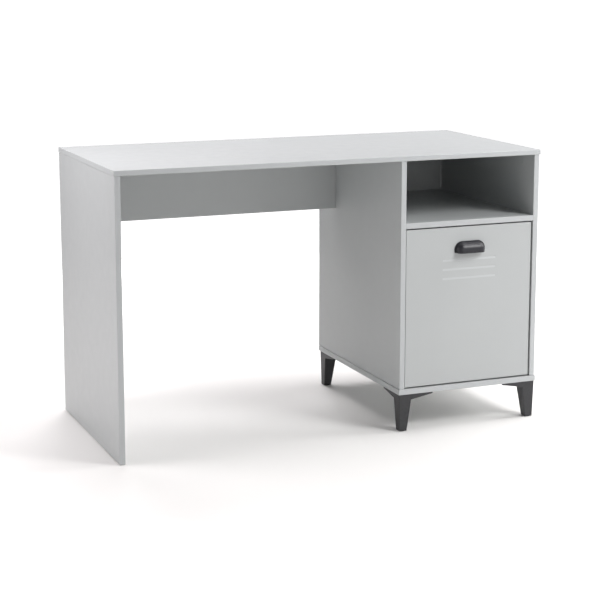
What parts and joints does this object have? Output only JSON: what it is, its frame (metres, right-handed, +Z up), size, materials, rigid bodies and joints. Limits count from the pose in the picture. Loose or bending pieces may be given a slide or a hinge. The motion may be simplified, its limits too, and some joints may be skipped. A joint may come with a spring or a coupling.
{
  "type": "writing desk",
  "caption": "Writing desk with a full-height side panel, a modesty panel, and a cupboard on tapered corner legs with an open niche over a hinged door that has a cup pull.",
  "frame": {"origin": "on the floor, under the middle of the desk's bounding box", "axes": "+X to the user's right along the top, +Y from the front to the back, +Z up"},
  "size_m": [1.2, 0.5756, 0.75],
  "materials": {
    "grey_board": "satin grey lacquered board with matching edge band",
    "grey_back_board": "thin hardboard, grey printed",
    "black_metal": "satin black powder coat",
    "nickel_steel": "nickel plated pressed steel",
    "pin_steel": "ground steel",
    "zinc_screws": "zinc plated",
    "cam_zinc": "die-cast zinc",
    "grey_cap": "moulded cover cap in the board's grey",
    "beech_dowel": "fluted beech",
    "black_glide": "moulded",
    "pale_plastic": "moulded"
  },
  "bodies": {
    "desk": {"top_panel": "grey_board", "left_side_panel": "grey_board", "modesty_panel": "grey_board", "cabinet_left_side": "grey_board", "cabinet_right_side": "grey_board", "cabinet_bottom": "grey_board", "niche_shelf": "grey_board", "cabinet_back_panel": "grey_back_board", "leg_front_left": "black_metal", "leg_front_right": "black_metal", "leg_rear_left": "black_metal", "leg_rear_right": "black_metal", "hinge_arm_upper": "nickel_steel", "hinge_arm_lower": "nickel_steel", "hinge_plate_upper": "nickel_steel", "hinge_plate_lower": "nickel_steel", "hinge_plate_screws": "zinc_screws", "hinge_arm_screws": "zinc_screws", "leg_screws": "zinc_screws", "back_panel_nails": "zinc_screws", "cam_bolts": "zinc_screws", "cam_locks": "cam_zinc", "cam_caps": "grey_cap", "dowels": "beech_dowel", "leg_glides": "black_glide", "side_panel_glides": "pale_plastic", "door_stops": "pale_plastic"},
    "door": {"door_panel": "grey_board", "cup_pull": "black_metal", "pull_screws": "zinc_screws", "hinge_cup_upper": "nickel_steel", "hinge_cup_lower": "nickel_steel", "hinge_pin_upper": "pin_steel", "hinge_pin_lower": "pin_steel", "hinge_cup_screws": "zinc_screws"}
  },
  "joints": [
    {"name": "door_hinge", "type": "hinge", "parent": "desk", "child": "door", "pos_m": [0.5675, -0.26025, 0.3363], "axis": [0, 0, 1], "range_deg": [0, 95]}
  ]
}
